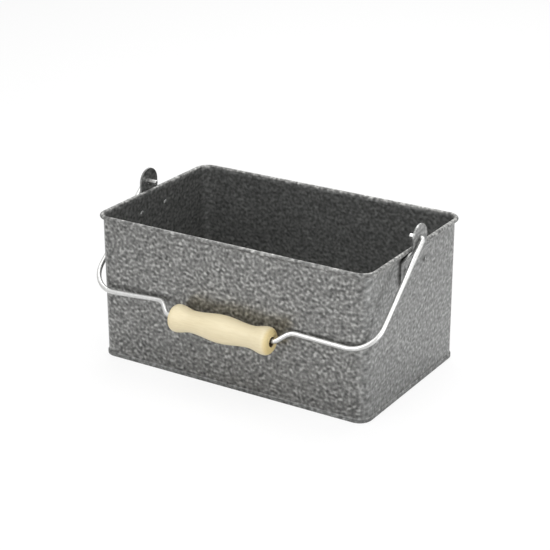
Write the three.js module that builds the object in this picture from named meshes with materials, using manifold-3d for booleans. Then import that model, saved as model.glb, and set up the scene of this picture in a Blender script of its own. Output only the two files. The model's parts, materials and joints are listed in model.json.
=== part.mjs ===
// Table caddy: a sheet-metal box with a rolled rim, two riveted ears, and a wire bail with a turned grip.
// Millimetres, +Z up. The origin lies on the table, under the centre of the base. +X runs along the front,
// to the right, and +Y to the back. The bail lies down against the front wall.
import * as THREE from 'three';
import { mergeVertices } from 'three/addons/utils/BufferGeometryUtils.js';
import Module from 'manifold-3d';

const wasm = await Module();
wasm.setup();

// Body: one sheet wrapped into a rounded rectangle, with its top edge rolled outwards
const BODY_WIDTH = 245; // over the end walls
const BODY_DEPTH = 150; // over the front and back walls
const BODY_HEIGHT = 122; // table to the top of the rim
const CORNER_RADIUS = 10; // outside of the upright corners
const WALL_SHEET = 0.6;
const CURL_DIAMETER = 3.4; // outside of the rolled rim
const CURL_TURN = 290; // degrees that the rim is rolled through
const LAP_WIDTH = 8; // where the sheet's ends overlap, on the back wall
const LAP_MARGIN = 1; // from the lap's ends to the rim and to the base lip

// Base: a shallow pan whose lip stands outside the wall
const BASE_SHEET = 0.6;
const LIP_HEIGHT = 4;
const SEAM_GAP = 0.3; // between the lip and the wall

// Ears: joggled plates that lie on the end walls and step out over the rim
const EAR_PLATE = 1.5;
const EAR_TAB_RADIUS = 11.2; // the round top, about the pivot
const EAR_NECK_DROP = 2; // rim top down to where the ear starts to widen
const EAR_SHOULDER_DROP = 12; // rim top down to the ear's full width
const EAR_FOOT_WIDTH = 47;
const EAR_FOOT_ROUND = 4; // lower corners of the foot
const EAR_RIM_GAP = 0.4; // between the rim and the ear
const JOGGLE_HEIGHT = 5;
const JOGGLE_BEND = 2; // at the middle of the plate
const PIVOT_RISE = 5.8; // rim top up to the bail's pivot
const EAR_FORWARD = 1.5; // how far in front of the walls' middle the ears sit

// Rivets: two in each ear, domed outside and inside
const SHANK_RADIUS = 1.6;
const SHANK_CLEARANCE = 0.2;
const HEAD_RADIUS = 3;
const HEAD_HEIGHT = 1.6;
const TAIL_RADIUS = 2.6;
const TAIL_HEIGHT = 1;
const RIVET_INSET = 7.1; // from the foot's side
const RIVET_DROP = 9; // from the lower end of the joggle
const RIVET_EDGE = 10.6; // from the foot's lower edge

// Bail: one round wire, bent in a plane through its pivot. Bends are measured at the middle of the wire
const WIRE_RADIUS = 2;
const PIVOT_CLEARANCE = 0.4; // round the wire in the ear's hole
const LEG_LENGTH = 7.5; // the wire's ends, inside the ears
const TIP_CHAMFER = 0.6;
const ARM_GAP = 0.4; // between the ear and the bail's arm
const CORNER_EASE = 5; // how much further in than the body's corner the bail's corner starts
const LEFT_SHOULDER_SLOPE = 4.2; // degrees that the wire falls away from the jog to the bail's left corner
const RIGHT_SHOULDER_SLOPE = 1.2; // the same on the right: the wire is bent by hand
const JOG_OUTER_BEND = 10;
const JOG_INNER_BEND = 6;
const JOG_ANGLE = 47; // degrees
const JOG_GAP = 4.5; // end of the centred grip to the corner of the jog
const REST_TILT = 40.4; // degrees below level at which the bail lies
const WIRE_REST_GAP = 1.1; // bail's wire to the front wall
const GRIP_REST_GAP = 0.4; // grip to the front wall

// Grip: turned wood with a belly, two necks and flared ends
const GRIP_LENGTH = 91;
const GRIP_BELLY_RADIUS = 11.2;
const GRIP_NECK_RADIUS = 8.8;
const GRIP_END_RADIUS = 11.1;
const GRIP_NECK_INSET = 18.8; // grip's end to its narrowest place
const GRIP_FLARE_INSET = 5; // grip's end to where its flare is full
const GRIP_END_ROUND = 4.5;
const GRIP_SLIDE = 2.6; // how far the loose grip has slid to the right
const BORE_CLEARANCE = 1.3; // between the radii of the bore and the wire
const HANG_GAP = 0.3; // between the wire and the side of the bore that hangs on it
const MOUTH_RADIUS = 4.2;
const MOUTH_DEPTH = 2;

// Fineness of the curved shapes
const CORNER_STEPS = 8; // per upright corner
const BEND_STEP = 15; // degrees
const CURL_STEP = 25; // degrees
const WIRE_SIDES = 16;
const ARC_STEPS = 12; // per half turn
const GRIP_SIDES = 32;
const RIVET_SIDES = 16;
const DOME_STEPS = 4;
const SWELL_STEPS = 7;
const END_STEPS = 4;

// Finishes
const paint = new THREE.MeshStandardMaterial({ color: 0x74736f, roughness: 0.45, metalness: 0.3 });
const zinc = new THREE.MeshStandardMaterial({ color: 0xc9cbcc, roughness: 0.3, metalness: 1 });
const wood = new THREE.MeshStandardMaterial({ color: 0xe4cb98, roughness: 0.5, metalness: 0 });

// Places that several pieces share. Heights on the ears are measured from the top of the rim
const wallX = BODY_WIDTH / 2;
const wallY = BODY_DEPTH / 2;
const curlReach = CURL_DIAMETER - WALL_SHEET;
const earStep = curlReach + EAR_RIM_GAP;
const earInnerX = wallX + earStep;
const earOuterX = earInnerX + EAR_PLATE;
const joggleTop = -CURL_DIAMETER;
const joggleFoot = joggleTop - JOGGLE_HEIGHT;
const rivetLevel = joggleFoot - RIVET_DROP;
const earFoot = rivetLevel - RIVET_EDGE;
const earTop = PIVOT_RISE + EAR_TAB_RADIUS;
const earY = -EAR_FORWARD;
const rivetY = EAR_FOOT_WIDTH / 2 - RIVET_INSET;
const rivetHole = SHANK_RADIUS + SHANK_CLEARANCE;
const pivotZ = BODY_HEIGHT + PIVOT_RISE;
const pivotBend = ARM_GAP + WIRE_RADIUS;
const armX = earOuterX + pivotBend;
const restTilt = THREE.MathUtils.degToRad(REST_TILT);
const gripRadius = Math.max(GRIP_BELLY_RADIUS, GRIP_END_RADIUS);
const pivotToWall = wallY - EAR_FORWARD;
const wireReach = (pivotToWall + WIRE_RADIUS + WIRE_REST_GAP) / Math.cos(restTilt);
const gripReach = (pivotToWall + gripRadius + GRIP_REST_GAP) / Math.cos(restTilt);
const boreReach = gripReach - (BORE_CLEARANCE - HANG_GAP); // the wire in the grip's bore

const QUARTER_TURN = Math.PI / 2;
const CORNER_SIGNS = [[1, 1], [-1, 1], [-1, -1], [1, -1]];

// An arc about a centre, as points with their directions. A positive turn is anticlockwise.
function arcPath(centre, start, turn, stepDegrees) {
  const steps = Math.ceil(Math.abs(THREE.MathUtils.radToDeg(turn)) / stepDegrees);
  const arm = start.clone().sub(centre);
  const path = [];
  for (let i = 0; i <= steps; i += 1) {
    const spoke = arm.clone().rotateAround(new THREE.Vector2(), (turn * i) / steps);
    const direction = new THREE.Vector2(-spoke.y, spoke.x).multiplyScalar(Math.sign(turn)).normalize();
    path.push({ point: spoke.add(centre), direction });
  }
  return path;
}

// A path of straight runs with rounded corners, as points with their directions.
// A corner is [x, y, radius]. The two ends have no radius.
function roundedPath(corners, stepDegrees) {
  const spots = corners.map(([x, y]) => new THREE.Vector2(x, y));
  const heading = (i) => spots[i + 1].clone().sub(spots[i]).normalize();
  const last = spots.length - 1;
  const path = [{ point: spots[0], direction: heading(0) }];
  for (let i = 1; i < last; i += 1) {
    const before = heading(i - 1);
    const after = heading(i);
    const radius = corners[i][2];
    const turn = Math.atan2(before.cross(after), before.dot(after));
    const setBack = radius * Math.tan(Math.abs(turn) / 2);
    const start = spots[i].clone().addScaledVector(before, -setBack);
    const inwards = new THREE.Vector2(-before.y, before.x).multiplyScalar(Math.sign(turn));
    const centre = start.clone().addScaledVector(inwards, radius);
    path.push(...arcPath(centre, start, turn, stepDegrees));
  }
  path.push({ point: spots[last], direction: heading(last - 1) });
  return path;
}

// The section of a bent sheet: along the right side of its middle line, and back along the left side.
function sheetSection(path, thickness) {
  const offset = (distance) => ({ point, direction }) =>
    new THREE.Vector2(point.x + direction.y * distance, point.y - direction.x * distance);
  const rightSide = path.map(offset(thickness / 2));
  const leftSide = path.map(offset(-thickness / 2));
  return [...rightSide, ...leftSide.reverse()];
}

// A closed skin through rings of equal count. The rings close on themselves or end in two caps.
function loft(rings, closesOnItself) {
  const count = rings[0].length;
  const points = rings.flat();
  const faces = [];
  const bands = closesOnItself ? rings.length : rings.length - 1;
  for (let i = 0; i < bands; i += 1) {
    const here = i * count;
    const there = ((i + 1) % rings.length) * count;
    for (let j = 0; j < count; j += 1) {
      const next = (j + 1) % count;
      faces.push(here + j, here + next, there + next);
      faces.push(here + j, there + next, there + j);
    }
  }
  if (!closesOnItself) {
    addCap(points, faces, 0, count, true);
    addCap(points, faces, (rings.length - 1) * count, count, false);
  }
  const geometry = new THREE.BufferGeometry().setFromPoints(points);
  geometry.setIndex(faces);
  return geometry;
}

// A fan of triangles from the middle of the first or the last ring of a loft.
function addCap(points, faces, first, count, isFirstRing) {
  const middle = new THREE.Vector3();
  for (let j = 0; j < count; j += 1) {
    middle.addScaledVector(points[first + j], 1 / count);
  }
  const hub = points.push(middle) - 1;
  for (let j = 0; j < count; j += 1) {
    const here = first + j;
    const next = first + ((j + 1) % count);
    faces.push(hub, isFirstRing ? next : here, isFirstRing ? here : next);
  }
}

// A ring round the body, at a distance out from the wall's outer face and at a height.
function bodyRing(outwards, height) {
  const reach = CORNER_RADIUS + outwards;
  const ring = [];
  CORNER_SIGNS.forEach(([signX, signY], corner) => {
    const centreX = signX * (wallX - CORNER_RADIUS);
    const centreY = signY * (wallY - CORNER_RADIUS);
    for (let step = 0; step <= CORNER_STEPS; step += 1) {
      const angle = (corner + step / CORNER_STEPS) * QUARTER_TURN;
      const x = centreX + reach * Math.cos(angle);
      const y = centreY + reach * Math.sin(angle);
      ring.push(new THREE.Vector3(x, y, height));
    }
  });
  return ring;
}

// Solids for joining and cutting, and geometry back from them
function solid(geometry) {
  const bare = geometry.clone();
  bare.deleteAttribute('normal');
  bare.deleteAttribute('uv');
  const merged = mergeVertices(bare);
  const vertProperties = new Float32Array(merged.attributes.position.array);
  const triVerts = new Uint32Array(merged.index.array);
  return new wasm.Manifold(new wasm.Mesh({ numProp: 3, vertProperties, triVerts }));
}

function geometryOf(body) {
  const { vertProperties, triVerts } = body.getMesh();
  const geometry = new THREE.BufferGeometry();
  geometry.setAttribute('position', new THREE.BufferAttribute(vertProperties, 3));
  geometry.setIndex(new THREE.BufferAttribute(triVerts, 1));
  geometry.computeVertexNormals();
  return geometry;
}

// A shape drawn in Y and Z, with its thickness along X from one place to another.
function extrudeAlongX(shape, from, to) {
  const depth = to - from;
  const geometry = new THREE.ExtrudeGeometry(shape, { depth, bevelEnabled: false, curveSegments: ARC_STEPS });
  return geometry.rotateX(QUARTER_TURN).rotateZ(QUARTER_TURN).translate(from, 0, 0);
}

// A shape drawn in X and Z, with its width along Y, half to each side.
function extrudeAlongY(shape, width) {
  const geometry = new THREE.ExtrudeGeometry(shape, { depth: width, bevelEnabled: false });
  return geometry.rotateX(QUARTER_TURN).translate(0, width / 2, 0);
}

function circleShape(radius, x, y) {
  return new THREE.Shape().absarc(x, y, radius, 0, 2 * Math.PI, false);
}

// Wall: the rolled section swept round the body, lapped at the back and drilled for the rivets
function makeWall() {
  const middle = -WALL_SHEET / 2;
  const curlCentre = new THREE.Vector2(CURL_DIAMETER / 2 - WALL_SHEET, BODY_HEIGHT - CURL_DIAMETER / 2);
  const curlStart = new THREE.Vector2(middle, curlCentre.y);
  const foot = { point: new THREE.Vector2(middle, BASE_SHEET), direction: new THREE.Vector2(0, 1) };
  const curl = arcPath(curlCentre, curlStart, -THREE.MathUtils.degToRad(CURL_TURN), CURL_STEP);
  const section = sheetSection([foot, ...curl], WALL_SHEET);
  let wall = solid(loft(section.map(({ x, y }) => bodyRing(x, y)), true));

  const lapBottom = LIP_HEIGHT + LAP_MARGIN;
  const lapTop = BODY_HEIGHT - CURL_DIAMETER - LAP_MARGIN;
  const lapRoot = wallY - WALL_SHEET / 2;
  const lapFace = wallY + WALL_SHEET;
  const lap = new THREE.BoxGeometry(LAP_WIDTH, lapFace - lapRoot, lapTop - lapBottom);
  lap.translate(0, (lapRoot + lapFace) / 2, (lapTop + lapBottom) / 2);
  wall = wall.add(solid(lap));

  for (const y of [earY - rivetY, earY + rivetY]) {
    const hole = circleShape(rivetHole, y, BODY_HEIGHT + rivetLevel);
    wall = wall.subtract(solid(extrudeAlongX(hole, -wallX - WALL_SHEET, wallX + WALL_SHEET)));
  }
  return geometryOf(wall);
}

// Base: the pan's section from the edge of its flat floor out to the lip, lofted round the body
function makeBase() {
  const middle = BASE_SHEET / 2;
  const lip = SEAM_GAP + middle;
  const corners = [
    [-CORNER_RADIUS / 2, middle],
    [lip, middle, SEAM_GAP + middle],
    [lip, LIP_HEIGHT],
  ];
  const section = sheetSection(roundedPath(corners, BEND_STEP), BASE_SHEET);
  return loft(section.map(({ x, y }) => bodyRing(x, y)), false);
}

// Ear on the right-hand wall: its outline seen from the end, cut to the joggled section of the plate
function makeEar() {
  const half = EAR_FOOT_WIDTH / 2;
  const roundY = half - EAR_FOOT_ROUND;
  const roundZ = earFoot + EAR_FOOT_ROUND;
  const outline = new THREE.Shape();
  outline.absarc(0, PIVOT_RISE, EAR_TAB_RADIUS, 0, Math.PI, false);
  outline.lineTo(-EAR_TAB_RADIUS, -EAR_NECK_DROP);
  outline.quadraticCurveTo(-half, -EAR_NECK_DROP, -half, -EAR_SHOULDER_DROP);
  outline.lineTo(-half, roundZ);
  outline.absarc(-roundY, roundZ, EAR_FOOT_ROUND, 2 * QUARTER_TURN, 3 * QUARTER_TURN, false);
  outline.absarc(roundY, roundZ, EAR_FOOT_ROUND, 3 * QUARTER_TURN, 4 * QUARTER_TURN, false);
  outline.lineTo(half, -EAR_SHOULDER_DROP);
  outline.quadraticCurveTo(half, -EAR_NECK_DROP, EAR_TAB_RADIUS, -EAR_NECK_DROP);
  outline.holes.push(circleShape(WIRE_RADIUS + PIVOT_CLEARANCE, 0, PIVOT_RISE));
  outline.holes.push(circleShape(rivetHole, -rivetY, rivetLevel));
  outline.holes.push(circleShape(rivetHole, rivetY, rivetLevel));
  const block = extrudeAlongX(outline, -EAR_PLATE, earStep + 2 * EAR_PLATE);

  const middle = EAR_PLATE / 2;
  const corners = [
    [middle, earFoot - EAR_PLATE],
    [middle, joggleFoot, JOGGLE_BEND],
    [middle + earStep, joggleTop, JOGGLE_BEND],
    [middle + earStep, earTop + EAR_PLATE],
  ];
  const section = new THREE.Shape(sheetSection(roundedPath(corners, BEND_STEP), EAR_PLATE));
  const bentStrip = extrudeAlongY(section, EAR_FOOT_WIDTH + EAR_PLATE);
  const ear = geometryOf(solid(block).intersect(solid(bentStrip)));
  return ear.translate(wallX, 0, BODY_HEIGHT);
}

// Rivet along +X: a tail inside the wall, a shank through wall and ear, and a domed head outside
function makeRivet() {
  const tailSeat = -WALL_SHEET;
  const headSeat = EAR_PLATE;
  const tail = [];
  const head = [];
  for (let i = 0; i <= DOME_STEPS; i += 1) {
    const angle = (i / DOME_STEPS) * QUARTER_TURN;
    const out = Math.sin(angle);
    const up = Math.cos(angle);
    tail.push(new THREE.Vector2(TAIL_RADIUS * out, tailSeat - TAIL_HEIGHT * up));
    head.unshift(new THREE.Vector2(HEAD_RADIUS * out, headSeat + HEAD_HEIGHT * up));
  }
  const shank = [new THREE.Vector2(SHANK_RADIUS, tailSeat), new THREE.Vector2(SHANK_RADIUS, headSeat)];
  const turned = new THREE.LatheGeometry([...tail, ...shank, ...head], RIVET_SIDES);
  return geometryOf(solid(turned.rotateZ(-QUARTER_TURN)));
}

// A ring of the bail's wire, square to its direction in the bail's own plane, X and Z.
function wireRing(point, direction, radius) {
  const ring = [];
  for (let j = 0; j < WIRE_SIDES; j += 1) {
    const angle = (j / WIRE_SIDES) * 2 * Math.PI;
    const inPlane = radius * Math.cos(angle);
    const outOfPlane = radius * Math.sin(angle);
    const x = point.x + direction.y * inPlane;
    const z = point.y - direction.x * inPlane;
    ring.push(new THREE.Vector3(x, outOfPlane, z));
  }
  return ring;
}

// Bail, hanging straight down from its pivot: the corners of its right half, then those of its left half
function makeBail() {
  const jogRun = (boreReach - wireReach) / Math.tan(THREE.MathUtils.degToRad(JOG_ANGLE));
  const jogInner = GRIP_LENGTH / 2 + JOG_GAP;
  const jogOuter = jogInner + jogRun;
  const cornerBend = armX - (wallX - CORNER_RADIUS) + CORNER_EASE;
  const halfCorners = (slope) => {
    const fall = (armX - jogOuter) * Math.tan(THREE.MathUtils.degToRad(slope));
    return [
      [earInnerX - LEG_LENGTH, 0],
      [armX, 0, pivotBend],
      [armX, -wireReach - fall, cornerBend],
      [jogOuter, -wireReach, JOG_OUTER_BEND],
      [jogInner, -boreReach, JOG_INNER_BEND],
    ];
  };
  const rightHalf = halfCorners(RIGHT_SHOULDER_SLOPE);
  const leftHalf = halfCorners(LEFT_SHOULDER_SLOPE).map(([x, y, radius]) => [-x, y, radius]).reverse();
  const path = roundedPath([...rightHalf, ...leftHalf], BEND_STEP);

  const tips = [path[0], path[path.length - 1]];
  const [firstTip, lastTip] = tips.map(({ point, direction }) =>
    wireRing(point, direction, WIRE_RADIUS - TIP_CHAMFER));
  path[0].point = tips[0].point.clone().addScaledVector(tips[0].direction, TIP_CHAMFER);
  path[path.length - 1].point = tips[1].point.clone().addScaledVector(tips[1].direction, -TIP_CHAMFER);
  const rings = path.map(({ point, direction }) => wireRing(point, direction, WIRE_RADIUS));
  return loft([firstTip, ...rings, lastTip], false);
}

// Grip along X: half of its turned profile from the belly to the bore, then the mirror image
function makeGrip() {
  const end = GRIP_LENGTH / 2;
  const neck = end - GRIP_NECK_INSET;
  const flare = end - GRIP_FLARE_INSET;
  const half = [];
  const addSwell = (fromRadius, toRadius, from, to) => {
    for (let i = 0; i < SWELL_STEPS; i += 1) {
      const share = i / SWELL_STEPS;
      const ease = (1 - Math.cos(share * Math.PI)) / 2;
      const radius = THREE.MathUtils.lerp(fromRadius, toRadius, ease);
      half.push([radius, THREE.MathUtils.lerp(from, to, share)]);
    }
  };
  addSwell(GRIP_BELLY_RADIUS, GRIP_NECK_RADIUS, 0, neck);
  addSwell(GRIP_NECK_RADIUS, GRIP_END_RADIUS, neck, flare);
  half.push([GRIP_END_RADIUS, flare]);
  for (let i = 0; i <= END_STEPS; i += 1) {
    const angle = (i / END_STEPS) * QUARTER_TURN;
    const radius = GRIP_END_RADIUS - GRIP_END_ROUND * (1 - Math.cos(angle));
    half.push([radius, end - GRIP_END_ROUND * (1 - Math.sin(angle))]);
  }
  half.push([MOUTH_RADIUS, end]);
  half.push([WIRE_RADIUS + BORE_CLEARANCE, end - MOUTH_DEPTH]);

  const otherHalf = half.slice(1).map(([radius, along]) => [radius, -along]).reverse();
  const loop = [...otherHalf, ...half, otherHalf[0]];
  const profile = loop.map(([radius, along]) => new THREE.Vector2(radius, along));
  const turned = new THREE.LatheGeometry(profile, GRIP_SIDES);
  return geometryOf(solid(turned.rotateZ(-QUARTER_TURN)));
}

function namedMesh(name, geometry, material) {
  const mesh = new THREE.Mesh(geometry, material.clone());
  mesh.name = name;
  return mesh;
}

const caddy = new THREE.Group();
caddy.add(namedMesh('wall_sheet', makeWall(), paint));
caddy.add(namedMesh('base_pan', makeBase(), paint));

// The right-hand ear is made as drawn. The left-hand one, with its rivets, is the same turned half round
for (const [side, turn, facing] of [['right', 0, 1], ['left', Math.PI, -1]]) {
  const end = new THREE.Group();
  end.position.y = earY;
  end.rotation.z = turn;
  end.add(namedMesh(`ear_${side}`, makeEar(), paint));
  for (const [place, y] of [['front', -rivetY], ['back', rivetY]]) {
    const rivet = namedMesh(`rivet_${side}_${place}`, makeRivet(), paint);
    rivet.position.set(wallX, facing * y, BODY_HEIGHT + rivetLevel);
    end.add(rivet);
  }
  caddy.add(end);
}

// The bail turns about X at the holes of the ears. The loose grip hangs on the bail's middle and turns
// about its own bore
const bail = new THREE.Group();
bail.position.set(0, earY, pivotZ);
bail.rotation.x = restTilt - QUARTER_TURN;
bail.add(namedMesh('bail_wire', makeBail(), zinc));
const grip = namedMesh('wood_grip', makeGrip(), wood);
grip.position.set(GRIP_SLIDE, 0, -gripReach);
bail.add(grip);
caddy.add(bail);

export default caddy;
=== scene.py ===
# Looks of a table caddy: a sheet-metal box in hammered paint, a zinc wire bail and a turned wooden grip.
# Metres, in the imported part's own frame: +X to the right along the front, +Y to the back, +Z up.
import json
import math

import bmesh
import bpy
from mathutils import Matrix, Vector


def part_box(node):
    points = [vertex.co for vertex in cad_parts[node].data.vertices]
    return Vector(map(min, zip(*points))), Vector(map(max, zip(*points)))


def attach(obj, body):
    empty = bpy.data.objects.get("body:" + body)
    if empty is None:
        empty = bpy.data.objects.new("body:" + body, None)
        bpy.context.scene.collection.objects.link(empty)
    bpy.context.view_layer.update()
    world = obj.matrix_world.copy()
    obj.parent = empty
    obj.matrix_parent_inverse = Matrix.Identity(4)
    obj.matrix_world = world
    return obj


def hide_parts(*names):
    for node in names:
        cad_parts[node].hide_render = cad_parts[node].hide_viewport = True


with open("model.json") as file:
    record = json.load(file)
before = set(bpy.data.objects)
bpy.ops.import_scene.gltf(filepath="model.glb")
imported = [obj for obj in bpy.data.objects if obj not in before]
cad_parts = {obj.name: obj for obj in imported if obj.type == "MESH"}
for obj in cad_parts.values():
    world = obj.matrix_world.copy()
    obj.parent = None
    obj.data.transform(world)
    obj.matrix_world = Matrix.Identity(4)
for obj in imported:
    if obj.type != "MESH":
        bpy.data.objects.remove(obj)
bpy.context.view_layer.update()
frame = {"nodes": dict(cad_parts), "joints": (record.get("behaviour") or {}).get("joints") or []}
joint_places = {joint["name"]: Vector(joint["pos_m"]) for joint in frame["joints"]}

MM = 0.001
QUARTER_TURN = math.pi / 2
FULL_TURN = 2 * math.pi
MERGE_DISTANCE = 0.01 * MM  # points closer than this are one point

# Sheet metal: sizes that the boxes of the pieces don't give
WALL_SHEET = 0.6 * MM
CORNER_RADIUS = 10 * MM
CURL_DIAMETER = 3.4 * MM
CURL_TURN = math.radians(290)
LAP_WIDTH = 8 * MM
LAP_MARGIN = 1 * MM
BASE_SHEET = 0.6 * MM
SEAM_GAP = 0.3 * MM
LIP_EDGE_DROP = 1.2 * MM  # over which the lip's edge rounds in to the wall
PAINT_GAP = 0.05 * MM
FLOOR_INSET = 5 * MM  # wall's outer face in to where the pan's bend has ended

# Ears and rivets
EAR_PLATE = 1.5 * MM
EAR_NECK_DROP = 2 * MM
EAR_SHOULDER_DROP = 12 * MM
EAR_FOOT_ROUND = 4 * MM
EAR_EDGE_ROUND = 0.35 * MM
EAR_EDGE_ANGLE = math.radians(60)  # edges that turn more than this are rounded
JOGGLE_HEIGHT = 5 * MM
JOGGLE_BEND = 2 * MM
PIVOT_HOLE = 2.4 * MM
SHANK_RADIUS = 1.6 * MM
RIVET_HOLE = 1.8 * MM
HOLE_PATCH = 4 * MM  # half the side of the square of wall sheet round a rivet's hole
HOLE_START = math.radians(225)  # a hole's first point looks at the first corner of its square
TAIL_RADIUS = 2.6 * MM
TAIL_HEIGHT = 1 * MM

# Bail
WIRE_RADIUS = 2 * MM
WIRE_REST_GAP = 1.1 * MM
LEG_LENGTH = 7.5 * MM
TIP_CHAMFER = 0.6 * MM
ARM_GAP = 0.4 * MM
CORNER_EASE = 5 * MM
LEFT_SHOULDER_SLOPE = math.radians(4.2)
RIGHT_SHOULDER_SLOPE = math.radians(1.2)
JOG_OUTER_BEND = 10 * MM
JOG_INNER_BEND = 6 * MM
JOG_ANGLE = math.radians(47)
JOG_GAP = 4.5 * MM

# Grip
GRIP_NECK_RADIUS = 8.8 * MM
GRIP_END_RADIUS = 11.1 * MM
GRIP_NECK_INSET = 18.8 * MM
GRIP_FLARE_INSET = 5 * MM
GRIP_END_ROUND = 4.5 * MM
BORE_CLEARANCE = 1.3 * MM
HANG_GAP = 0.3 * MM
MOUTH_RADIUS = 4.2 * MM
MOUTH_DEPTH = 2 * MM

# Fineness of the curved shapes
CORNER_STEPS = 16
CURL_STEPS = 30
BEND_STEPS = 8
BEND_STEP = math.radians(6)
OUTLINE_STEPS = 24
HOLE_SIDES = 24
WIRE_SIDES = 24
RIVET_SIDES = 32
DOME_STEPS = 8
GRIP_SIDES = 96
SWELL_STEPS = 20
EDGE_STEPS = 3
END_STEPS = 8
SMOOTH_ANGLE = math.radians(35)

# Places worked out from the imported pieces
wall_low, wall_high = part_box("wall_sheet")
base_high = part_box("base_pan")[1]
ear_low, ear_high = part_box("ear_right")
bail_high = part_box("bail_wire")[1]
grip_low, grip_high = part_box("wood_grip")
curl_reach = CURL_DIAMETER - WALL_SHEET
half_width = wall_high.x - curl_reach
half_depth = -wall_low.y - curl_reach
rim_top = wall_high.z
pivot = joint_places["bail_swing"]
grip_axis = joint_places["grip_spin"]
rivet_nodes = sorted(name for name in frame["nodes"] if name.startswith("rivet_"))
rivet_places = {name: sum(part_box(name), Vector()) / 2 for name in rivet_nodes}
rivet_z = rivet_places["rivet_right_back"].z
rivet_reach = (rivet_places["rivet_right_back"].y - rivet_places["rivet_right_front"].y) / 2
ear_y = pivot.y


# Meshes and pieces
def add_piece(name, mesh, body, nodes, material):
    """Puts a mesh in the scene as a piece that rides on a body and stands for some nodes."""
    piece = bpy.data.objects.new(name, mesh)
    bpy.context.scene.collection.objects.link(piece)
    mesh.shade_smooth()
    mesh.set_sharp_from_angle(angle=SMOOTH_ANGLE)
    mesh.materials.append(material)
    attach(piece, body)
    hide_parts(*nodes)
    return piece


def mesh_from(name, points, faces):
    """A closed mesh whose faces all look outwards."""
    mesh = bpy.data.meshes.new(name)
    mesh.from_pydata(points, [], faces)
    shell = bmesh.new()
    shell.from_mesh(mesh)
    bmesh.ops.recalc_face_normals(shell, faces=shell.faces)
    shell.to_mesh(mesh)
    shell.free()
    return mesh


def arc(centre, radius, start, turn, steps):
    """Points on an arc in a plane, from a start angle through a turn."""
    points = []
    for step in range(steps + 1):
        angle = start + turn * step / steps
        points.append((centre[0] + radius * math.cos(angle), centre[1] + radius * math.sin(angle)))
    return points


def rounded_path(corners):
    """A path of straight runs and rounded corners, as (point, direction). A corner is (x, y, radius)."""
    spots = [Vector(corner[:2]) for corner in corners]
    headings = [(there - here).normalized() for here, there in zip(spots, spots[1:])]
    path = [(spots[0], headings[0])]
    for spot, corner, before, after in zip(spots[1:], corners[1:], headings, headings[1:]):
        radius = corner[2]
        turn = math.atan2(before.x * after.y - before.y * after.x, before.dot(after))
        side = math.copysign(1, turn)
        start = spot - before * radius * math.tan(abs(turn) / 2)
        centre = start + Vector((-before.y, before.x)) * side * radius
        steps = max(1, math.ceil(abs(turn) / BEND_STEP))
        for step in range(steps + 1):
            swing = Matrix.Rotation(turn * step / steps, 2)
            path.append((centre + swing @ (start - centre), swing @ before))
    path.append((spots[-1], headings[-1]))
    return path


def body_stations(marks):
    """Places round the body, as (point on the wall's outer face, outward direction), anticlockwise.
    Marks are extra places on a side, as distances from its middle."""
    stations = []
    sides = (("back", 1, 1), ("left", -1, 1), ("front", -1, -1), ("right", 1, -1))
    for quarter, (side, sign_x, sign_y) in enumerate(sides):
        centre_x = sign_x * (half_width - CORNER_RADIUS)
        centre_y = sign_y * (half_depth - CORNER_RADIUS)
        for step in range(CORNER_STEPS + 1):
            angle = (quarter + step / CORNER_STEPS) * QUARTER_TURN
            out = Vector((math.cos(angle), math.sin(angle), 0))
            stations.append((Vector((centre_x, centre_y, 0)) + out * CORNER_RADIUS, out))
        normal = stations[-1][1]
        along = Vector((-normal.y, normal.x, 0))
        reach = half_depth if side in ("back", "front") else half_width
        for mark in marks.get(side, ()):
            stations.append((normal * reach + along * mark, normal))
    return stations


def sweep(section, stations):
    """Rings round the body, one for each point (outwards, height) of a section."""
    points = []
    for outwards, height in section:
        for place, out in stations:
            points.append(place + out * outwards + Vector((0, 0, height)))
    return points


def lathe(name, profile, sides, centre, facing):
    """A closed turned solid along X from a profile of (radius, along) whose ends may lie on the axis."""
    points = []
    rows = []
    for radius, along in profile:
        if radius < MERGE_DISTANCE:
            rows.append([len(points)])
            points.append(centre + Vector((facing * along, 0, 0)))
            continue
        row = []
        for side in range(sides):
            angle = FULL_TURN * side / sides
            spoke = Vector((0, math.cos(angle), math.sin(angle)))
            row.append(len(points))
            points.append(centre + Vector((facing * along, 0, 0)) + spoke * radius)
        rows.append(row)
    closed = len(rows[0]) > 1
    pairs = list(zip(rows, rows[1:] + rows[:1])) if closed else list(zip(rows, rows[1:]))
    faces = []
    for here, there in pairs:
        for side in range(sides):
            after = (side + 1) % sides
            corners = [here[side % len(here)], here[after % len(here)]]
            corners += [there[after % len(there)], there[side % len(there)]]
            faces.append(tuple(dict.fromkeys(corners)))
    return mesh_from(name, points, faces)


# Wall sheet
def add_hole(points, faces, column, count, outer_row, inner_row, stations):
    """A round hole through both skins of the wall, in one square of the grid."""
    normal = stations[column][1]
    along = Vector((-normal.y, normal.x, 0))
    middle = (stations[column][0] + stations[column + 1][0]) / 2 + Vector((0, 0, rivet_z))
    rings = []
    for outwards, row, upwards in ((0, outer_row, 1), (-WALL_SHEET, inner_row, -1)):
        corners = [
            row * count + column,
            row * count + column + 1,
            (row + 1) * count + column + 1,
            (row + 1) * count + column,
        ]
        if upwards < 0:
            corners.reverse()
        ring = []
        for step in range(HOLE_SIDES):
            angle = HOLE_START + FULL_TURN * step / HOLE_SIDES
            spoke = along * math.cos(angle) + Vector((0, 0, math.sin(angle)))
            ring.append(len(points))
            points.append(middle + normal * outwards + spoke * RIVET_HOLE)
        quarter = HOLE_SIDES // 4
        for corner in range(4):
            edge = [ring[(corner * quarter + step) % HOLE_SIDES] for step in range(quarter, -1, -1)]
            faces.append((corners[corner], corners[(corner + 1) % 4], *edge))
        rings.append(ring)
    for step in range(HOLE_SIDES):
        after = (step + 1) % HOLE_SIDES
        faces.append((rings[0][step], rings[0][after], rings[1][after], rings[1][step]))


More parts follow.
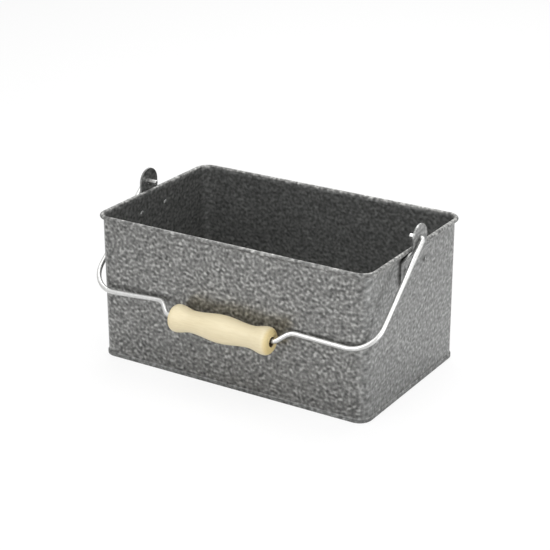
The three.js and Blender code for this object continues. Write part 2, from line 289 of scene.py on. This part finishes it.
def make_wall():
    lap_low = base_high.z + LAP_MARGIN
    lap_high = rim_top - CURL_DIAMETER - LAP_MARGIN
    hole_low = rivet_z - HOLE_PATCH
    hole_high = rivet_z + HOLE_PATCH
    curl_centre = (CURL_DIAMETER / 2 - WALL_SHEET, rim_top - CURL_DIAMETER / 2)
    levels = [wall_low.z, lap_low, hole_low, hole_high, lap_high]
    outer = [(0, level) for level in levels]
    curl_inside = arc(curl_centre, CURL_DIAMETER / 2 - WALL_SHEET, math.pi, -CURL_TURN, CURL_STEPS)
    curl_outside = arc(curl_centre, CURL_DIAMETER / 2, math.pi - CURL_TURN, CURL_TURN, CURL_STEPS)
    inner = [(-WALL_SHEET, level) for level in reversed(levels)]
    section = outer + curl_inside + curl_outside + inner

    patch_edges = [side * rivet_reach + step for side in (-1, 1) for step in (-HOLE_PATCH, HOLE_PATCH)]
    marks = {
        "back": (-LAP_WIDTH / 2, LAP_WIDTH / 2),
        "left": [edge - ear_y for edge in patch_edges],
        "right": [edge + ear_y for edge in patch_edges],
    }
    stations = body_stations(marks)
    points = sweep(section, stations)
    count = len(stations)

    # Which squares of the grid are holes, and which carry the lap
    side_start = {}
    first = CORNER_STEPS + 1
    for side in ("back", "left", "front", "right"):
        side_start[side] = first
        first += len(marks.get(side, ())) + CORNER_STEPS + 1
    hole_columns = [side_start[side] + step for side in ("left", "right") for step in (0, 2)]
    outer_hole_row = levels.index(hole_low)
    inner_hole_row = len(section) - 1 - levels.index(hole_high)
    lap_rows = range(levels.index(lap_low), levels.index(lap_high))

    faces = []
    lap_faces = []
    for row in range(len(section)):
        next_row = (row + 1) % len(section)
        for column in range(count):
            next_column = (column + 1) % count
            if column in hole_columns and row in (outer_hole_row, inner_hole_row):
                continue
            if column == side_start["back"] and row in lap_rows:
                lap_faces.append(len(faces))
            faces.append((
                row * count + column,
                row * count + next_column,
                next_row * count + next_column,
                next_row * count + column,
            ))
    for column in hole_columns:
        add_hole(points, faces, column, count, outer_hole_row, inner_hole_row, stations)

    mesh = bpy.data.meshes.new("wall")
    mesh.from_pydata(points, [], faces)
    shell = bmesh.new()
    shell.from_mesh(mesh)
    shell.verts.ensure_lookup_table()
    shell.faces.ensure_lookup_table()

    # The curl is duller. The flecks carry painted glints on the outside of the front and back walls and on
    # the curl: their stronger contrast there stands in for light glinting off the flakes
    painted_glint = shell.verts.layers.float.new("painted_glint")
    dull = shell.verts.layers.float.new("dull")
    for row in range(len(section) - len(inner)):
        on_curl = row >= len(outer)
        for column, (_, out) in enumerate(stations):
            vert = shell.verts[row * count + column]
            vert[painted_glint] = 1 if on_curl else abs(out.y)
            vert[dull] = on_curl

    # The lap stands up from its patch of the back wall, which is left open under it
    patch = [shell.faces[index] for index in lap_faces]
    raised = bmesh.ops.extrude_face_region(shell, geom=patch)
    raised_points = [item for item in raised["geom"] if isinstance(item, bmesh.types.BMVert)]
    bmesh.ops.translate(shell, verts=raised_points, vec=(0, WALL_SHEET, 0))
    bmesh.ops.delete(shell, geom=patch, context="FACES")
    bmesh.ops.recalc_face_normals(shell, faces=shell.faces)
    shell.to_mesh(mesh)
    shell.free()
    return mesh


# Base pan
def make_base():
    lip_inner = SEAM_GAP
    lip_outer = SEAM_GAP + BASE_SHEET
    lip_top = base_high.z
    outside = [(-FLOOR_INSET, 0), *arc((0, lip_outer), lip_outer, -QUARTER_TURN, QUARTER_TURN, BEND_STEPS)]
    lip_edge = []
    for across, up in arc((0, 0), 1, 0, QUARTER_TURN, BEND_STEPS):
        outwards = PAINT_GAP + (lip_outer - PAINT_GAP) * across
        lip_edge.append((outwards, lip_top - LIP_EDGE_DROP * (1 - up)))
    lip_edge.append((PAINT_GAP, lip_top - LIP_EDGE_DROP))
    inside = [*arc((0, lip_outer), lip_inner, 0, -QUARTER_TURN, BEND_STEPS), (-FLOOR_INSET, BASE_SHEET)]
    section = outside + lip_edge + inside
    stations = body_stations({})
    count = len(stations)
    faces = [tuple(range(count)), tuple(range((len(section) - 1) * count, len(section) * count))]
    for row in range(len(section) - 1):
        for column in range(count):
            after = (column + 1) % count
            here = row * count
            there = here + count
            faces.append((here + column, here + after, there + after, there + column))
    mesh = mesh_from("base", sweep(section, stations), faces)

    # The paint is duller on the pan, as on the curl
    dull = mesh.attributes.new("dull", "FLOAT", "POINT")
    dull.data.foreach_set("value", [1] * len(mesh.vertices))
    return mesh


# Ears
def curve(start, control, end):
    """A curve that leaves its start towards a control point and comes to its end from there."""
    points = []
    for step in range(BEND_STEPS + 1):
        share = step / BEND_STEPS
        weights = ((1 - share) ** 2, 2 * share * (1 - share), share**2)
        points.append(tuple(
            weights[0] * start[axis] + weights[1] * control[axis] + weights[2] * end[axis]
            for axis in (0, 1)
        ))
    return points


def ear_outline():
    """The ear seen from its end, anticlockwise, in Y and Z, with Y from its middle."""
    half = (ear_high.y - ear_low.y) / 2
    tab = ear_high.z - pivot.z
    neck = rim_top - EAR_NECK_DROP
    shoulder = rim_top - EAR_SHOULDER_DROP
    outline = arc((0, pivot.z), tab, 0, math.pi, OUTLINE_STEPS)
    outline += curve((-tab, neck), (-half, neck), (-half, shoulder))
    round_z = ear_low.z + EAR_FOOT_ROUND
    round_y = half - EAR_FOOT_ROUND
    outline += arc((-round_y, round_z), EAR_FOOT_ROUND, math.pi, QUARTER_TURN, BEND_STEPS)
    outline += arc((round_y, round_z), EAR_FOOT_ROUND, -QUARTER_TURN, QUARTER_TURN, BEND_STEPS)
    outline += curve((half, shoulder), (half, neck), (tab, neck))
    return outline


def plate_face(bend_line, height, side):
    """How far out the bent plate's outer face (side 1) or inner face (side -1) is at a height."""
    for (here, _), (there, _) in zip(bend_line, bend_line[1:]):
        if height <= there.x:
            break
    run = there - here
    share = (height - here.x) / run.x
    slant = run.length / run.x
    return here.y + share * run.y + side * slant * EAR_PLATE / 2


def make_ear(facing):
    """The joggled plate on the end wall at +X (facing 1) or -X (facing -1)."""
    joggle_top = rim_top - CURL_DIAMETER
    joggle_foot = joggle_top - JOGGLE_HEIGHT
    foot_middle = half_width + EAR_PLATE / 2
    tab_middle = ear_high.x - EAR_PLATE / 2
    bend_line = rounded_path([
        (ear_low.z - EAR_PLATE, foot_middle),
        (joggle_foot, foot_middle, JOGGLE_BEND),
        (joggle_top, tab_middle, JOGGLE_BEND),
        (ear_high.z + EAR_PLATE, tab_middle),
    ])
    plate = bmesh.new()
    loops = [
        ear_outline(),
        arc((0, pivot.z), PIVOT_HOLE, 0, FULL_TURN, HOLE_SIDES)[:-1],
        arc((rivet_reach, rivet_z), RIVET_HOLE, 0, FULL_TURN, HOLE_SIDES)[:-1],
        arc((-rivet_reach, rivet_z), RIVET_HOLE, 0, FULL_TURN, HOLE_SIDES)[:-1],
    ]
    for loop in loops:
        corners = [plate.verts.new((0, ear_y + y, z)) for y, z in loop]
        for here, there in zip(corners, corners[1:] + corners[:1]):
            plate.edges.new((here, there))
    bmesh.ops.remove_doubles(plate, verts=plate.verts, dist=MERGE_DISTANCE)
    bmesh.ops.triangle_fill(plate, use_beauty=True, use_dissolve=False, edges=plate.edges, normal=(1, 0, 0))
    for point, _ in bend_line[1:-1]:
        everything = plate.verts[:] + plate.edges[:] + plate.faces[:]
        bmesh.ops.bisect_plane(plate, geom=everything, plane_co=(0, 0, point.x), plane_no=(0, 0, 1))
    skins = bmesh.ops.duplicate(plate, geom=plate.verts[:] + plate.edges[:] + plate.faces[:])
    outer_points = [item for item in skins["geom"] if isinstance(item, bmesh.types.BMVert)]
    outer_set = set(outer_points)
    rim_edges = [edge for edge in plate.edges if edge.is_boundary]
    vert_map = skins["vert_map"]
    for edge in rim_edges:
        here, there = edge.verts
        if here in outer_set or there in outer_set:
            continue
        plate.faces.new((here, there, vert_map[there], vert_map[here]))
    for vert in plate.verts:
        side = 1 if vert in outer_set else -1
        vert.co.x = facing * plate_face(bend_line, vert.co.z, side)
    bmesh.ops.recalc_face_normals(plate, faces=plate.faces)
    mesh = bpy.data.meshes.new("ear")
    plate.to_mesh(mesh)
    plate.free()
    return mesh


# Rivets
def make_rivet(node):
    low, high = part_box(node)
    facing = 1 if low.x > 0 else -1
    head_radius = (high.y - low.y) / 2
    wall_face = half_width - WALL_SHEET
    head_seat = half_width + EAR_PLATE
    head_height = max(abs(low.x), abs(high.x)) - head_seat
    profile = []
    for step in range(DOME_STEPS + 1):
        angle = QUARTER_TURN * step / DOME_STEPS
        profile.append((TAIL_RADIUS * math.sin(angle), wall_face - TAIL_HEIGHT * math.cos(angle)))
    profile += [(SHANK_RADIUS, wall_face), (SHANK_RADIUS, head_seat)]
    for step in range(DOME_STEPS, -1, -1):
        angle = QUARTER_TURN * step / DOME_STEPS
        profile.append((head_radius * math.sin(angle), head_seat + head_height * math.cos(angle)))
    centre = Vector((0, (low.y + high.y) / 2, (low.z + high.z) / 2))
    return lathe("rivet", profile, RIVET_SIDES, centre, facing)


# Bail
def unwrap_wire(mesh, lengths):
    """A map along the wire: metres of length one way, metres round the wire the other way."""
    girth = FULL_TURN * WIRE_RADIUS
    layer = mesh.uv_layers.new(name="along_wire")
    for polygon in mesh.polygons:
        steps = [mesh.loops[loop].vertex_index % WIRE_SIDES for loop in polygon.loop_indices]
        wraps = max(steps) - min(steps) > WIRE_SIDES // 2
        for loop, step in zip(polygon.loop_indices, steps):
            row = mesh.loops[loop].vertex_index // WIRE_SIDES
            turned = step + WIRE_SIDES if wraps and step == 0 else step
            layer.data[loop].uv = (lengths[row], turned / WIRE_SIDES * girth)


def make_bail():
    reach_line = grip_axis - pivot
    grip_reach = Vector((reach_line.y, reach_line.z)).length
    down = Vector((0, reach_line.y, reach_line.z)).normalized()
    out_of_plane = Vector((1, 0, 0)).cross(down)
    lean = abs(down.y)
    wire_reach = (half_depth + pivot.y + WIRE_RADIUS + WIRE_REST_GAP) / lean
    arm_x = bail_high.x - WIRE_RADIUS
    pivot_bend = ARM_GAP + WIRE_RADIUS
    tip_x = ear_high.x - EAR_PLATE - LEG_LENGTH
    corner_bend = arm_x - (half_width - CORNER_RADIUS) + CORNER_EASE
    jog_inner = (grip_high.x - grip_low.x) / 2 + JOG_GAP
    bore_reach = grip_reach - (BORE_CLEARANCE - HANG_GAP)
    jog_outer = jog_inner + (bore_reach - wire_reach) / math.tan(JOG_ANGLE)

    def half_corners(slope):
        fall = (arm_x - jog_outer) * math.tan(slope)
        return [
            (tip_x, 0, 0),
            (arm_x, 0, pivot_bend),
            (arm_x, wire_reach + fall, corner_bend),
            (jog_outer, wire_reach, JOG_OUTER_BEND),
            (jog_inner, bore_reach, JOG_INNER_BEND),
        ]

    right_half = half_corners(RIGHT_SHOULDER_SLOPE)
    left_half = [(-x, reach, radius) for x, reach, radius in reversed(half_corners(LEFT_SHOULDER_SLOPE))]
    path = rounded_path(right_half + left_half)
    first_point, first_heading = path[0]
    last_point, last_heading = path[-1]
    path[0] = (first_point + first_heading * TIP_CHAMFER, first_heading)
    path[-1] = (last_point - last_heading * TIP_CHAMFER, last_heading)
    rings = [(first_point, first_heading, WIRE_RADIUS - TIP_CHAMFER)]
    rings += [(point, heading, WIRE_RADIUS) for point, heading in path]
    rings.append((last_point, last_heading, WIRE_RADIUS - TIP_CHAMFER))

    points = []
    lengths = [0]
    for index, (point, heading, radius) in enumerate(rings):
        sideways = Vector((heading.y, -heading.x))
        for step in range(WIRE_SIDES):
            angle = FULL_TURN * step / WIRE_SIDES
            spot = point + sideways * radius * math.cos(angle)
            place = pivot + Vector((spot.x, 0, 0)) + down * spot.y
            points.append(place + out_of_plane * radius * math.sin(angle))
        if index:
            lengths.append(lengths[-1] + (point - rings[index - 1][0]).length)
    faces = [tuple(range(WIRE_SIDES)), tuple(range(len(points) - WIRE_SIDES, len(points)))]
    for row in range(len(rings) - 1):
        here = row * WIRE_SIDES
        there = here + WIRE_SIDES
        for step in range(WIRE_SIDES):
            after = (step + 1) % WIRE_SIDES
            faces.append((here + step, here + after, there + after, there + step))
    mesh = mesh_from("bail", points, faces)
    unwrap_wire(mesh, lengths)
    return mesh


# Grip
def make_grip():
    end = (grip_high.x - grip_low.x) / 2
    belly = (grip_high.y - grip_low.y) / 2
    neck = end - GRIP_NECK_INSET
    flare = end - GRIP_FLARE_INSET
    half = []
    swells = ((belly, GRIP_NECK_RADIUS, 0, neck), (GRIP_NECK_RADIUS, GRIP_END_RADIUS, neck, flare))
    for from_radius, to_radius, start, stop in swells:
        for step in range(SWELL_STEPS):
            share = step / SWELL_STEPS
            ease = (1 - math.cos(share * math.pi)) / 2
            half.append((from_radius + (to_radius - from_radius) * ease, start + (stop - start) * share))
    half.append((GRIP_END_RADIUS, flare))
    for step in range(END_STEPS + 1):
        angle = QUARTER_TURN * step / END_STEPS
        radius = GRIP_END_RADIUS - GRIP_END_ROUND * (1 - math.cos(angle))
        half.append((radius, end - GRIP_END_ROUND * (1 - math.sin(angle))))
    half += [(MOUTH_RADIUS, end), (WIRE_RADIUS + BORE_CLEARANCE, end - MOUTH_DEPTH)]
    other_half = [(radius, -along) for radius, along in reversed(half[1:])]
    centre = Vector(((grip_low.x + grip_high.x) / 2, grip_axis.y, grip_axis.z))
    mesh = lathe("grip", other_half + half, GRIP_SIDES, centre, 1)

    # The bore is painted dark from a little way inside its mouths: painted shade for the hole, and in part
    # darker raw wood
    bore_shade = mesh.attributes.new("bore_shade", "FLOAT", "POINT")
    for vertex, depth in zip(mesh.vertices, bore_shade.data):
        depth.value = (vertex.co - centre).yz.length < MOUTH_RADIUS - MERGE_DISTANCE
    return mesh


# Paint: tones are linear, and a pair of values goes with a pair of places on a ramp
NOISE_SPREAD = (0.30, 0.70)  # between which most values of a noise lie
FLECK_SCALE = 225
FLECK_SPREAD = (0.25, 0.50, 0.75)
FLAKE_SCALE = 360
FLAKE_DETAIL = 2
FLAKE_TONES = (0.46, 1.0)
# Fleck tones with painted glints, for the long walls' outside and the curl, and plain ones for elsewhere
GLINT_FLECK_TONES = ((0.120, 0.120, 0.117), (0.262, 0.262, 0.254), (0.545, 0.545, 0.528))
PLAIN_FLECK_TONES = ((0.172, 0.174, 0.170), (0.272, 0.275, 0.269), (0.431, 0.436, 0.426))
GLINT_BLEND = (0.75, 0.97)
PAINT_ROUGHNESS = (0.34, 0.28)
DULL_ROUGHNESS = 0.62
PAINT_RELIEF = 0.20
PAINT_RELIEF_DEPTH = 0.2 * MM
PAINT_METALLIC = 0.58

# Zinc
LINE_STRETCH = (60, 4000, 1)
LINE_DETAIL = 3
SPANGLE_SCALE = 420
SPANGLE_DETAIL = 2
ZINC_TONES = ((0.54, 0.54, 0.53), (0.64, 0.64, 0.63))
ZINC_ROUGHNESS = (0.31, 0.41)
ZINC_RELIEF = 0.15
ZINC_RELIEF_DEPTH = 0.03 * MM
ZINC_METALLIC = 1.0

# Wood
FIBRE_STRETCH = (40, 900, 900)
FIBRE_DETAIL = 3
FIBRE_SPREAD = (0.35, 0.60)
FIBRE_TONES = ((0.95, 0.94, 0.91), (1, 1, 1))
RING_STRETCH = (6, 90, 90)
RING_SHIFT = (0, 0.06, -0.02)
RING_DETAIL = 2
RING_DISTORTION = 0.4
WOOD_TONES = ((0.87, 0.75, 0.49), (0.92, 0.82, 0.58))
END_GRAIN_BLEND = (0.30, 0.80)
END_GRAIN_TONE = (0.93, 0.86, 0.64, 1)
# The bore's painted shade, which is in part darker raw wood
BORE_SHADE_BLEND = (0.05, 0.40)
BORE_SHADE_TONE = (0.09, 0.06, 0.03, 1)
WOOD_ROUGHNESS = (0.42, 0.52)
WOOD_RELIEF = 0.12
WOOD_RELIEF_DEPTH = 0.05 * MM

# Sockets of a Mix node that mixes colours
MIX_FACTOR = 0
MIX_FIRST = 6
MIX_SECOND = 7
MIX_RESULT = 2


# Materials
def grey(level):
    return (level, level, level, 1)


def new_material(name):
    material = bpy.data.materials.new(name)
    material.use_nodes = True
    tree = material.node_tree
    shader = tree.nodes["Principled BSDF"]
    return material, tree, shader


def set_socket(tree, socket, value):
    """Gives a socket a value, or a link from another node's output."""
    if isinstance(value, bpy.types.NodeSocket):
        tree.links.new(value, socket)
    else:
        socket.default_value = value


def add_node(tree, kind, settings=None, **inputs):
    """A node with its settings and input values. An input may be another node's output."""
    made = tree.nodes.new(kind)
    for name, value in (settings or {}).items():
        setattr(made, name, value)
    for name, value in inputs.items():
        set_socket(tree, made.inputs[name], value)
    return made


def add_ramp(tree, factor, places, tones):
    """A colour ramp with a grey level or a colour at each place."""
    made = add_node(tree, "ShaderNodeValToRGB", Fac=factor)
    elements = made.color_ramp.elements
    while len(elements) < len(places):
        elements.new(1)
    for element, place, tone in zip(elements, places, tones):
        element.position = place
        element.color = (*tone, 1) if isinstance(tone, tuple) else grey(tone)
    return made.outputs["Color"]


def mix_colours(tree, blend, factor, first, second):
    made = add_node(tree, "ShaderNodeMix", {"data_type": "RGBA", "blend_type": blend})
    for index, value in ((MIX_FACTOR, factor), (MIX_FIRST, first), (MIX_SECOND, second)):
        set_socket(tree, made.inputs[index], value)
    return made.outputs[MIX_RESULT]


def object_place(tree):
    return add_node(tree, "ShaderNodeTexCoord").outputs["Object"]


def stretched(tree, place, stretch, shift=(0, 0, 0)):
    made = add_node(tree, "ShaderNodeMapping", Vector=place, Location=shift, Scale=stretch)
    return made.outputs["Vector"]


def add_noise(tree, place, scale, detail, distortion=0):
    inputs = {"Vector": place, "Scale": scale, "Detail": detail, "Distortion": distortion}
    return add_node(tree, "ShaderNodeTexNoise", **inputs).outputs["Fac"]


def point_value(tree, name):
    """A value that the mesh carries on its points, or 0 where it carries none."""
    return add_node(tree, "ShaderNodeAttribute", {"attribute_name": name}).outputs["Fac"]


def dress(tree, shader, tone, shine, height, relief, relief_depth):
    """Gives a shader its colour, roughness and relief."""
    bump = add_node(tree, "ShaderNodeBump", Strength=relief, Distance=relief_depth, Height=height)
    tree.links.new(tone, shader.inputs["Base Color"])
    tree.links.new(shine, shader.inputs["Roughness"])
    tree.links.new(bump.outputs["Normal"], shader.inputs["Normal"])


def hammered_paint():
    """Grey metallic paint that has drawn together into light flecks and dark hollows.
    The flecks are fainter on the ends, inside and on the small pieces. On the long walls' outside and
    on the curl, their stronger contrast is painted glint."""
    material, tree, shader = new_material("hammered_paint")
    place = object_place(tree)
    fleck_inputs = {"Vector": place, "Scale": FLECK_SCALE, "Frequency": 1, "Anisotropy": 0}
    flecks = add_node(tree, "ShaderNodeTexGabor", {"gabor_type": "3D"}, **fleck_inputs).outputs["Value"]
    flakes = add_noise(tree, place, FLAKE_SCALE, FLAKE_DETAIL)
    # Painted glints: where the mesh's mask is 1 the flecks get a stronger contrast, standing in for light
    # on the flakes
    glinting_tone = add_ramp(tree, flecks, FLECK_SPREAD, GLINT_FLECK_TONES)
    plain_fleck_tone = add_ramp(tree, flecks, FLECK_SPREAD, PLAIN_FLECK_TONES)
    glint_share = add_ramp(tree, point_value(tree, "painted_glint"), GLINT_BLEND, (0, 1))
    tone = mix_colours(tree, "MIX", glint_share, plain_fleck_tone, glinting_tone)
    flake_tone = add_ramp(tree, flakes, NOISE_SPREAD, FLAKE_TONES)
    tone = mix_colours(tree, "MULTIPLY", 1, tone, flake_tone)
    shine = add_ramp(tree, flakes, NOISE_SPREAD, PAINT_ROUGHNESS)
    shine = mix_colours(tree, "MIX", point_value(tree, "dull"), shine, grey(DULL_ROUGHNESS))
    dress(tree, shader, tone, shine, flakes, PAINT_RELIEF, PAINT_RELIEF_DEPTH)
    shader.inputs["Metallic"].default_value = PAINT_METALLIC
    return material


def zinc_wire():
    """Bright zinc plate on drawn wire: fine lines along the wire and a faint spangle."""
    material, tree, shader = new_material("zinc_wire")
    along = add_node(tree, "ShaderNodeUVMap", {"uv_map": "along_wire"}).outputs["UV"]
    lines = add_noise(tree, stretched(tree, along, LINE_STRETCH), 1, LINE_DETAIL)
    spangle = add_noise(tree, object_place(tree), SPANGLE_SCALE, SPANGLE_DETAIL)
    tone = add_ramp(tree, spangle, NOISE_SPREAD, ZINC_TONES)
    shine = add_ramp(tree, lines, NOISE_SPREAD, ZINC_ROUGHNESS)
    dress(tree, shader, tone, shine, lines, ZINC_RELIEF, ZINC_RELIEF_DEPTH)
    shader.inputs["Metallic"].default_value = ZINC_METALLIC
    return material


def turned_wood():
    """Pale hardwood under a satin lacquer: faint rings and fibres along the grip, darker end grain,
    and a bore painted dark, as painted shade and in part as darker raw wood."""
    material, tree, shader = new_material("turned_wood")
    place = object_place(tree)
    fibres = add_noise(tree, stretched(tree, place, FIBRE_STRETCH), 1, FIBRE_DETAIL)
    ring_place = stretched(tree, place, RING_STRETCH, RING_SHIFT)
    rings = add_noise(tree, ring_place, 1, RING_DETAIL, RING_DISTORTION)
    tone = add_ramp(tree, rings, NOISE_SPREAD, WOOD_TONES)
    fibre_tone = add_ramp(tree, fibres, FIBRE_SPREAD, FIBRE_TONES)
    tone = mix_colours(tree, "MULTIPLY", 1, tone, fibre_tone)
    facing = add_node(tree, "ShaderNodeTexCoord").outputs["Normal"]
    split = add_node(tree, "ShaderNodeSeparateXYZ", Vector=facing)
    end_share = add_node(tree, "ShaderNodeMath", {"operation": "ABSOLUTE"})
    tree.links.new(split.outputs["X"], end_share.inputs[0])
    end_grain = add_ramp(tree, end_share.outputs[0], END_GRAIN_BLEND, (0, 1))
    tone = mix_colours(tree, "MULTIPLY", end_grain, tone, END_GRAIN_TONE)
    # Painted shade in the bore, which is in part darker raw wood
    bore_shading = add_ramp(tree, point_value(tree, "bore_shade"), BORE_SHADE_BLEND, (0, 1))
    tone = mix_colours(tree, "MIX", bore_shading, tone, BORE_SHADE_TONE)
    shine = add_ramp(tree, fibres, NOISE_SPREAD, WOOD_ROUGHNESS)
    dress(tree, shader, tone, shine, fibres, WOOD_RELIEF, WOOD_RELIEF_DEPTH)
    return material


paint = hammered_paint()
zinc = zinc_wire()
wood = turned_wood()

add_piece("wall_shell", make_wall(), "caddy", ["wall_sheet"], paint)
add_piece("base_shell", make_base(), "caddy", ["base_pan"], paint)
for side, facing in (("left", -1), ("right", 1)):
    plate = make_ear(facing)
    ear = add_piece(f"ear_plate_{side}", plate, "caddy", [f"ear_{side}"], paint)
    rounding = ear.modifiers.new("edge_round", "BEVEL")
    rounding.width = EAR_EDGE_ROUND
    rounding.segments = EDGE_STEPS
    rounding.limit_method = "ANGLE"
    rounding.angle_limit = EAR_EDGE_ANGLE
for node in rivet_nodes:
    name = node.replace("rivet", "rivet_dome")
    add_piece(name, make_rivet(node), "caddy", [node], paint)
add_piece("bail_rod", make_bail(), "bail", ["bail_wire"], zinc)
add_piece("grip_turning", make_grip(), "grip", ["wood_grip"], wood)


# Floor, surroundings and light
FLOOR_HALF = 4.0
FLOOR_DROP = 0.2 * MM
FLOOR_TONE = 0.8
SEEN_GLOW = 0.85  # the camera sees the floor as this much white, and the rest shows the shadow
SEEN_TONE = 0.15
GLOSS_GLOW = 0.10  # white that gloss sees, beside the lit floor
DIM_LEVEL = 0.08  # the surroundings' own light
WHITE_LEVEL = 1.0  # the surroundings as the camera and gloss see them


def either(tree, first, second):
    """1 where one of two values is 1, otherwise 0."""
    made = add_node(tree, "ShaderNodeMath", {"operation": "MAXIMUM"})
    tree.links.new(first, made.inputs[0])
    tree.links.new(second, made.inputs[1])
    return made.outputs[0]


def add_emission(tree, level):
    return add_node(tree, "ShaderNodeEmission", Color=grey(1), Strength=level).outputs[0]


def add_diffuse(tree, level):
    return add_node(tree, "ShaderNodeBsdfDiffuse", Color=grey(level)).outputs[0]


def add_background(tree, level):
    return add_node(tree, "ShaderNodeBackground", Color=grey(1), Strength=level).outputs[0]


def add_shaders(tree, first, second):
    made = tree.nodes.new("ShaderNodeAddShader")
    tree.links.new(first, made.inputs[0])
    tree.links.new(second, made.inputs[1])
    return made.outputs[0]


def mix_shaders(tree, factor, first, second):
    made = add_node(tree, "ShaderNodeMixShader", Fac=factor)
    tree.links.new(first, made.inputs[1])
    tree.links.new(second, made.inputs[2])
    return made.outputs[0]


def make_floor():
    """A pale floor that looks white to the camera, and keeps the object's shadow."""
    signs = ((-1, -1), (1, -1), (1, 1), (-1, 1))
    corners = [(x * FLOOR_HALF, y * FLOOR_HALF, -FLOOR_DROP) for x, y in signs]
    mesh = bpy.data.meshes.new("floor")
    mesh.from_pydata(corners, [], [(0, 1, 2, 3)])
    floor = bpy.data.objects.new("floor", mesh)
    bpy.context.scene.collection.objects.link(floor)
    material = bpy.data.materials.new("floor")
    material.use_nodes = True
    tree = material.node_tree
    tree.nodes.clear()
    path = add_node(tree, "ShaderNodeLightPath").outputs
    plain = add_diffuse(tree, FLOOR_TONE)
    white = add_shaders(tree, add_emission(tree, SEEN_GLOW), add_diffuse(tree, SEEN_TONE))
    mirrored = add_shaders(tree, add_emission(tree, GLOSS_GLOW), add_diffuse(tree, FLOOR_TONE))
    in_gloss = either(tree, path["Is Glossy Ray"], path["Is Transmission Ray"])
    lit = mix_shaders(tree, in_gloss, plain, mirrored)
    surface = mix_shaders(tree, path["Is Camera Ray"], lit, white)
    add_node(tree, "ShaderNodeOutputMaterial", Surface=surface)
    mesh.materials.append(material)


def make_world():
    """Surroundings that give a little light, and look white to the camera and in gloss."""
    world = bpy.data.worlds.new("studio")
    bpy.context.scene.world = world
    world.use_nodes = True
    tree = world.node_tree
    tree.nodes.clear()
    path = add_node(tree, "ShaderNodeLightPath").outputs
    seen = either(tree, path["Is Camera Ray"], path["Is Glossy Ray"])
    seen = either(tree, seen, path["Is Transmission Ray"])
    surface = mix_shaders(tree, seen, add_background(tree, DIM_LEVEL), add_background(tree, WHITE_LEVEL))
    add_node(tree, "ShaderNodeOutputWorld", Surface=surface)


def direction(azimuth, elevation):
    """The direction from the object to a place round it. Azimuth 0 is in front of it, and a
    quarter turn is at its right."""
    flat = math.cos(elevation)
    return Vector((math.sin(azimuth) * flat, -math.cos(azimuth) * flat, math.sin(elevation)))


def add_lamp(name, azimuth, elevation, distance, width, height, power):
    """A soft rectangular lamp that looks at the middle of the object. Angles are in degrees."""
    back = direction(math.radians(azimuth), math.radians(elevation))
    data = bpy.data.lights.new(name, "AREA")
    data.shape = "RECTANGLE"
    data.size = width
    data.size_y = height
    data.energy = power
    lamp = bpy.data.objects.new(name, data)
    lamp.location = Vector((0, 0, rim_top / 2)) + back * distance
    lamp.rotation_mode = "QUATERNION"
    lamp.rotation_quaternion = (-back).to_track_quat("-Z", "Y")
    lamp.visible_camera = False
    bpy.context.scene.collection.objects.link(lamp)


make_floor()
make_world()
add_lamp("top_back", azimuth=191, elevation=55, distance=1.6, width=1.7, height=1.6, power=22.5)
add_lamp("overhead", azimuth=0, elevation=88, distance=1.2, width=1.2, height=1.2, power=9.5)
add_lamp("front", azimuth=-4, elevation=31, distance=0.58, width=0.4, height=0.35, power=1.25)
add_lamp("right", azimuth=86, elevation=8, distance=0.60, width=0.35, height=0.35, power=1.3)

# Camera, as the photograph's perspective shows it
CAMERA_LENS = 105.98
CAMERA_SENSOR = 36
CAMERA_AZIMUTH = math.radians(32.19)
CAMERA_ELEVATION = math.radians(22.12)
CAMERA_ROLL = math.radians(-0.17)
CAMERA_DISTANCE = 1.3109
AIM_HEIGHT = 60 * MM
AIM_RIGHT = -2.98 * MM
AIM_UP = 9.15 * MM


def make_camera():
    back = direction(CAMERA_AZIMUTH, CAMERA_ELEVATION)
    right = Vector((math.cos(CAMERA_AZIMUTH), math.sin(CAMERA_AZIMUTH), 0))
    up = back.cross(right)
    aim = Vector((0, 0, AIM_HEIGHT)) + right * AIM_RIGHT + up * AIM_UP
    data = bpy.data.cameras.new("camera")
    data.lens = CAMERA_LENS
    data.sensor_width = CAMERA_SENSOR
    camera = bpy.data.objects.new("camera", data)
    turn = Matrix((right, up, back)).transposed() @ Matrix.Rotation(CAMERA_ROLL, 3, "Z")
    camera.matrix_world = Matrix.Translation(aim + back * CAMERA_DISTANCE) @ turn.to_4x4()
    bpy.context.scene.collection.objects.link(camera)
    bpy.context.scene.camera = camera


make_camera()
bpy.context.scene.view_settings.view_transform = "Standard"
